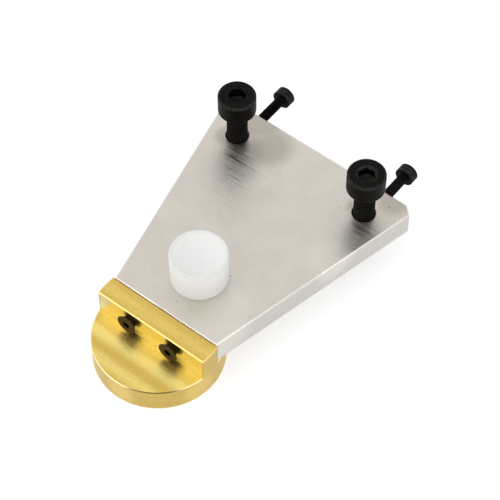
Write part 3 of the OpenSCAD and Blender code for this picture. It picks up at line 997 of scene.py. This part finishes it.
def knob_profile():
    """Rim: a circle of radius KNOB_RIM, from the upright wall over the crest to the dish's slope.
    Dish: the sphere, down to the axis. Pip: a bell curve, PIP_H high, on the axis."""
    base = np.array([[KNOB_R - 0.06, 0.0], [KNOB_R - 0.02, 0.02], [KNOB_R, 0.06]])
    wall = np.stack([np.full(16, KNOB_R), np.linspace(0.2, KNOB_H - KNOB_RIM, 16)], -1)
    edge_r, slope, sphere = dish_sphere()
    t = np.linspace(0, np.pi / 2 + slope, 24)[1:]
    rim = np.stack([KNOB_R - KNOB_RIM + KNOB_RIM * np.cos(t),
                    KNOB_H - KNOB_RIM + KNOB_RIM * np.sin(t)], -1)
    r = np.concatenate([np.linspace(edge_r, PIP_FROM, 60)[1:],
                        np.linspace(PIP_FROM, AXIS_GAP, 16)[1:]])
    pip = PIP_H * np.exp(-(r / PIP_R) ** 2)
    z = KNOB_H - DISH + sphere - np.sqrt(sphere ** 2 - r ** 2) + pip
    return np.vstack([BORE, base, wall, rim, np.stack([r, z], -1)])


profile = knob_profile()
turn = np.linspace(0, 2 * np.pi, KNOB_COLUMNS, endpoint=False)[None, :]
knob = turned_mesh("knob", profile[:, :1] * np.ones_like(turn),
                   profile[:, 1:] * np.ones_like(turn), turn,
                   Matrix.Translation((0, KNOB_Y, PLATE_TOP)))
knob.data.materials.append(plastic)
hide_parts("finger_knob")
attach(knob, "holder")
print("its dish is", DISH, "mm deep")

# %% [markdown]
# The plate, the brass foot and the hidden stud keep their exact solids, whose shapes are right,
# and take the new finishes through their material slots.

# %% Dress the solids that stay
for name, finish in (("base_plate", steel), ("brass_foot", brass), ("knob_stud", oxide)):
    solid = nodes[name]
    solid.data.materials.clear()
    solid.data.materials.append(finish)
    print(name, "wears", finish.name)

# %% [markdown]
# Bright metal shows whatever stands round it, so the studio is a white tent. It is a little
# brighter near the floor than overhead, and has an opening for the lens, which the turned side of
# the foot shows as a darker patch. The camera sees plain white, and the soft light that falls on
# the object is a little less.

# %% The white tent
OPENING = Vector((0.50, -0.64, 0.575)).normalized()
OPENING_OUTER, OPENING_INNER, OPENING_LEVEL = 0.83, 0.95, 0.2
WALL_LOW, WALL_HIGH = 1.12, 0.88
SOFT_LOW, SOFT_HIGH = 0.88, 0.80
WHITE = (1, 1, 1, 1)


def seen_directly(tree):
    """One where the ray comes from the camera, a reflection or glass, and nothing elsewhere."""
    path = node(tree, "LightPath").outputs
    seen = plus(tree, path["Is Camera Ray"], path["Is Glossy Ray"])
    return math_node(tree, "ADD", seen, path["Is Transmission Ray"], clamp=True)


world = bpy.data.worlds.new("tent")
bpy.context.scene.world = world
world.use_nodes = True
sky = world.node_tree
direction = node(sky, "TexCoord").outputs["Generated"]
overhead = split(sky, direction)[2]
to_opening = node(sky, "VectorMath", {0: direction, 1: OPENING}, operation="DOT_PRODUCT")
gap_level = ramp(sky, to_opening.outputs["Value"], OPENING_OUTER, OPENING_INNER, 1.0,
                 OPENING_LEVEL)
tent_level = times(sky, ramp(sky, overhead, 0.0, 1.0, WALL_LOW, WALL_HIGH), gap_level)
soft_level = ramp(sky, overhead, 0.0, 1.0, SOFT_LOW, SOFT_HIGH)
lit_level = blend(sky, seen_directly(sky), soft_level, tent_level)
camera_ray = node(sky, "LightPath").outputs["Is Camera Ray"]
background = sky.nodes["Background"].inputs
feed(sky, background["Strength"], blend(sky, camera_ray, lit_level, 1.0))
background["Color"].default_value = WHITE
print("tent walls", WALL_LOW, "to", WALL_HIGH, "and soft light", SOFT_LOW, "to", SOFT_HIGH)

# %% [markdown]
# The floor is a plain pale sheet. Seen directly it glows a little, so that it is white in the open
# while the object still casts its shadow, and for soft light it is a plain matt surface with no
# glow.

# %% The floor
HALF, UNDER = 3.0, -0.00002
MATT, SHOWN, GLOW = 0.8, 0.45, 0.67
floor_mesh = bpy.data.meshes.new("floor")
floor_mesh.from_pydata([(-HALF, -HALF, 0), (HALF, -HALF, 0), (HALF, HALF, 0), (-HALF, HALF, 0)],
                       [], [(0, 1, 2, 3)])
floor = bpy.data.objects.new("floor", floor_mesh)
floor.location.z = UNDER
bpy.context.scene.collection.objects.link(floor)

pale = bpy.data.materials.new("pale_floor")
pale.use_nodes = True
tree = pale.node_tree
tree.nodes.clear()
matt = node(tree, "BsdfDiffuse", {"Color": (MATT, MATT, MATT, 1)}).outputs[0]
shown = node(tree, "BsdfDiffuse", {"Color": (SHOWN, SHOWN, SHOWN, 1)}).outputs[0]
glow = node(tree, "Emission", {"Color": WHITE, "Strength": GLOW}).outputs[0]
glowing = node(tree, "AddShader", {0: shown, 1: glow}).outputs[0]
choice = node(tree, "MixShader", {0: seen_directly(tree), 1: matt, 2: glowing}).outputs[0]
node(tree, "OutputMaterial", {"Surface": choice})
floor_mesh.materials.append(pale)
print("floor", 2 * HALF, "m wide, glow", GLOW)

# %% [markdown]
# Two large soft lamps give the tent a direction: one from the front and left, which draws the
# bright lines on the front bevels, and one from the right, for the long bevel of the plate.

# %% The lamps
LAMP_AWAY = 0.8
OBJECT_MIDDLE = Vector((0.0, 0.02, 0.01))


def soft_lamp(name, towards, width, level):
    """A square lamp LAMP_AWAY from the object in direction towards. Its power is its brightness,
    level, times pi times its area."""
    light = bpy.data.lights.new(name, "AREA")
    light.shape = "SQUARE"
    light.size = width
    light.energy = level * math.pi * width * width
    lamp = bpy.data.objects.new(name, light)
    direction = Vector(towards).normalized()
    lamp.matrix_world = direction.to_track_quat("Z", "Y").to_matrix().to_4x4()
    lamp.location = OBJECT_MIDDLE + direction * LAMP_AWAY
    bpy.context.scene.collection.objects.link(lamp)
    print(name, "gives %.2f W" % light.energy)


soft_lamp("lamp_front_left", (-0.414, -0.670, 0.616), 0.71, 1.1)
soft_lamp("lamp_right", (0.865, -0.03, 0.5), 0.68, 0.55)
